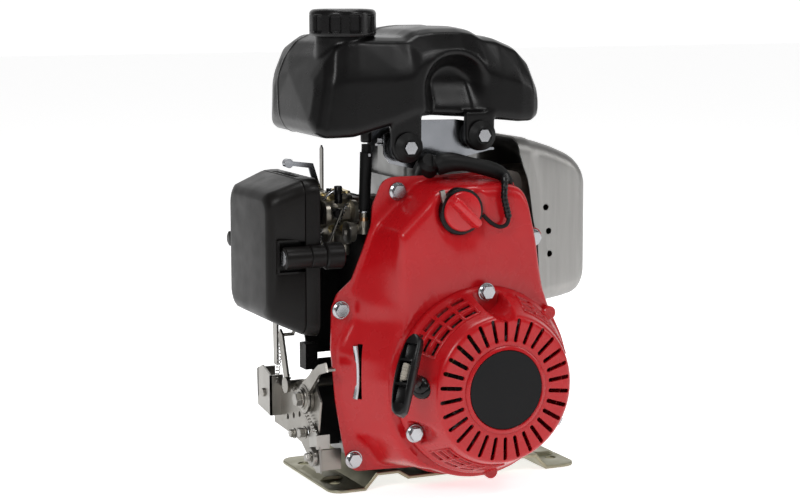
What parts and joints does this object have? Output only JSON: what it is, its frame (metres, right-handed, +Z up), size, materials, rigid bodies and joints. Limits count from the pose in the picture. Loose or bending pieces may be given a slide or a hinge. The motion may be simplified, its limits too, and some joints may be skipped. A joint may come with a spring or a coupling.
{
  "type": "small gasoline engine",
  "caption": "Upright air-cooled four-stroke engine with overhead cam, recoil starter, top fuel tank, side air cleaner, guarded muffler and a horizontal output shaft.",
  "frame": {"origin": "centre of the four base mounting holes, on the underside of the base plate", "axes": "+Z up, +Y along the output shaft away from the recoil starter, +X towards the muffler"},
  "size_m": [0.303, 0.3192, 0.404],
  "materials": {
    "red_cover": "glossy red paint",
    "red_knob": "glossy red plastic",
    "black_plastic": "satin black moulding",
    "black_trim": "satin black",
    "badge": "plain dark disc",
    "tank_plastic": "satin black moulding",
    "cast_alloy": "die-cast, bead blasted",
    "machined_alloy": "machined",
    "guard_steel": "brushed",
    "exhaust_steel": "heat-dulled",
    "base_steel": "olive zinc plate",
    "bracket_steel": "pressed, zinc plate",
    "lever_steel": "zinc plate",
    "carb_alloy": "die-cast, passivated",
    "bolt_steel": "bright plate",
    "ground_steel": "ground",
    "dark_steel": "oil-blackened",
    "flywheel_iron": "cast and turned",
    "ring_iron": "honed",
    "yellow_zinc": "yellow zinc plate",
    "rubber": "matt",
    "phenolic": "heat-insulating resin",
    "reel_nylon": "black nylon",
    "rope_fibre": "braided",
    "filter_foam": "open-cell foam",
    "coil_resin": "potted"
  },
  "bodies": {
    "engine": {"base_plate": "base_steel", "case_bolts": "bolt_steel", "crankcase": "cast_alloy", "crankcase_cover": "cast_alloy", "cylinder_head": "cast_alloy", "head_cover": "cast_alloy", "air_guide": "dark_steel", "fan_cover": "red_cover", "shroud_bolts": "bolt_steel", "starter_cover": "red_cover", "starter_badge": "badge", "rope_guide": "black_trim", "switch_housing": "black_trim", "switch_lead": "rubber", "ignition_coil": "coil_resin", "spark_plug": "ground_steel", "plug_cap": "rubber", "ignition_lead": "rubber", "muffler": "exhaust_steel", "muffler_guard": "guard_steel", "air_cleaner_case": "black_plastic", "air_cleaner_cover": "black_plastic", "filter_element": "filter_foam", "cover_screws": "bolt_steel", "carburetor": "carb_alloy", "float_bowl": "carb_alloy", "intake_spacer": "phenolic", "fuel_tank": "tank_plastic", "tank_bracket": "bracket_steel", "tank_rubbers": "rubber", "tank_studs": "bolt_steel", "fuel_hose": "rubber", "control_plate": "lever_steel", "drain_plug": "bolt_steel", "main_bearings": "ground_steel", "timing_belt": "rubber", "valve_springs": "dark_steel", "recoil_spring": "dark_steel"},
    "cap_seal": {"cap_gasket": "rubber"},
    "cap": {"filler_cap": "black_plastic"},
    "handle": {"starter_handle": "black_trim", "starter_rope": "rope_fibre"},
    "reel": {"starter_reel": "reel_nylon"},
    "crank": {"crankshaft": "ground_steel", "flywheel": "flywheel_iron", "starter_cup": "yellow_zinc"},
    "plug": {"web_plug": "dark_steel"},
    "piston_set": {"piston": "machined_alloy", "piston_rings": "ring_iron", "piston_pin": "ground_steel"},
    "rod": {"connecting_rod": "machined_alloy"},
    "cam": {"camshaft": "dark_steel"},
    "intake": {"intake_valve": "ground_steel"},
    "exhaust": {"exhaust_valve": "dark_steel"},
    "throttle": {"throttle_lever": "yellow_zinc"},
    "choke": {"choke_lever": "bracket_steel"},
    "governor": {"governor_arm": "lever_steel"},
    "speed_lever": {"control_lever": "lever_steel"},
    "switch": {"switch_knob": "red_knob"},
    "dipstick": {"oil_dipstick": "black_trim"}
  },
  "joints": [
    {"name": "cap_lift", "type": "slide", "parent": "engine", "child": "cap_seal", "axis": [0, 0, 1], "range_m": [0, 0.01]},
    {"name": "cap_turn", "type": "hinge", "parent": "cap_seal", "child": "cap", "pos_m": [-0.093, -0.03, 0.39], "axis": [0, 0, 1], "range_deg": [0, 451]},
    {"name": "handle_pull", "type": "slide", "parent": "engine", "child": "handle", "axis": [-0.69, -0.5509, 0.4695], "range_m": [0, 0.7], "stiffness_N_per_m": 8, "springref_m": -0.6},
    {"name": "reel_spin", "type": "hinge", "parent": "engine", "child": "reel", "pos_m": [0, -0.125, 0.097], "axis": [0, 1, 0], "range_deg": [0, 1340]},
    {"name": "crank_spin", "type": "hinge", "parent": "engine", "child": "crank", "pos_m": [0, 0, 0.097], "axis": [0, 1, 0], "continuous": true, "deforming": ["connecting_rod"]},
    {"name": "web_plug_turn", "type": "hinge", "parent": "crank", "child": "plug", "pos_m": [0, 0, 0.107], "axis": [0, 1, 0], "continuous": true},
    {"name": "piston_carry", "type": "hinge", "parent": "plug", "child": "piston_set", "pos_m": [0, 0, 0.117], "axis": [0, 1, 0], "continuous": true},
    {"name": "rod_swing", "type": "hinge", "parent": "piston_set", "child": "rod", "pos_m": [0, 0, 0.195], "axis": [0, 1, 0], "range_deg": [-15, 15], "deforming": ["connecting_rod"]},
    {"name": "cam_spin", "type": "hinge", "parent": "engine", "child": "cam", "pos_m": [0, 0, 0.266], "axis": [0, 1, 0], "continuous": true},
    {"name": "intake_lift", "type": "slide", "parent": "engine", "child": "intake", "axis": [0, 0, -1], "range_m": [0, 0.0045], "stiffness_N_per_m": 2000, "springref_m": -0.004, "deforming": ["valve_springs"]},
    {"name": "exhaust_lift", "type": "slide", "parent": "engine", "child": "exhaust", "axis": [0, 0, -1], "range_m": [0, 0.0045], "stiffness_N_per_m": 2000, "springref_m": -0.004, "deforming": ["valve_springs"]},
    {"name": "governor_swing", "type": "hinge", "parent": "engine", "child": "governor", "pos_m": [-0.09, 0.007, 0.082], "axis": [1, 0, 0], "range_deg": [0, 8]},
    {"name": "throttle_turn", "type": "hinge", "parent": "engine", "child": "throttle", "pos_m": [-0.082, 0.009, 0.245], "axis": [0, 0, 1], "range_deg": [0, 72.5]},
    {"name": "choke_turn", "type": "hinge", "parent": "engine", "child": "choke", "pos_m": [-0.092, 0.025, 0.243], "axis": [0, 1, 0], "range_deg": [0, 60]},
    {"name": "speed_lever_turn", "type": "hinge", "parent": "engine", "child": "speed_lever", "pos_m": [-0.122, -0.027, 0.077], "axis": [1, 0, 0], "range_deg": [-20, 25]},
    {"name": "switch_turn", "type": "hinge", "parent": "engine", "child": "switch", "pos_m": [-0.02, -0.105, 0.24], "axis": [0, 1, 0], "range_deg": [0, 60]},
    {"name": "dipstick_pull", "type": "slide", "parent": "engine", "child": "dipstick", "axis": [1, 0, 0], "range_m": [0, 0.06]}
  ],
  "couplings": [
    {"joint": "cap_turn", "follows": "cap_lift", "rad_per_m": 785.4},
    {"joint": "reel_spin", "follows": "handle_pull", "rad_per_m": 33.333},
    {"joint": "web_plug_turn", "follows": "crank_spin", "ratio": -2},
    {"joint": "piston_carry", "follows": "crank_spin", "ratio": 1},
    {"joint": "cam_spin", "follows": "crank_spin", "ratio": 0.5},
    {"joint": "throttle_turn", "follows": "governor_swing", "ratio": 9}
  ]
}
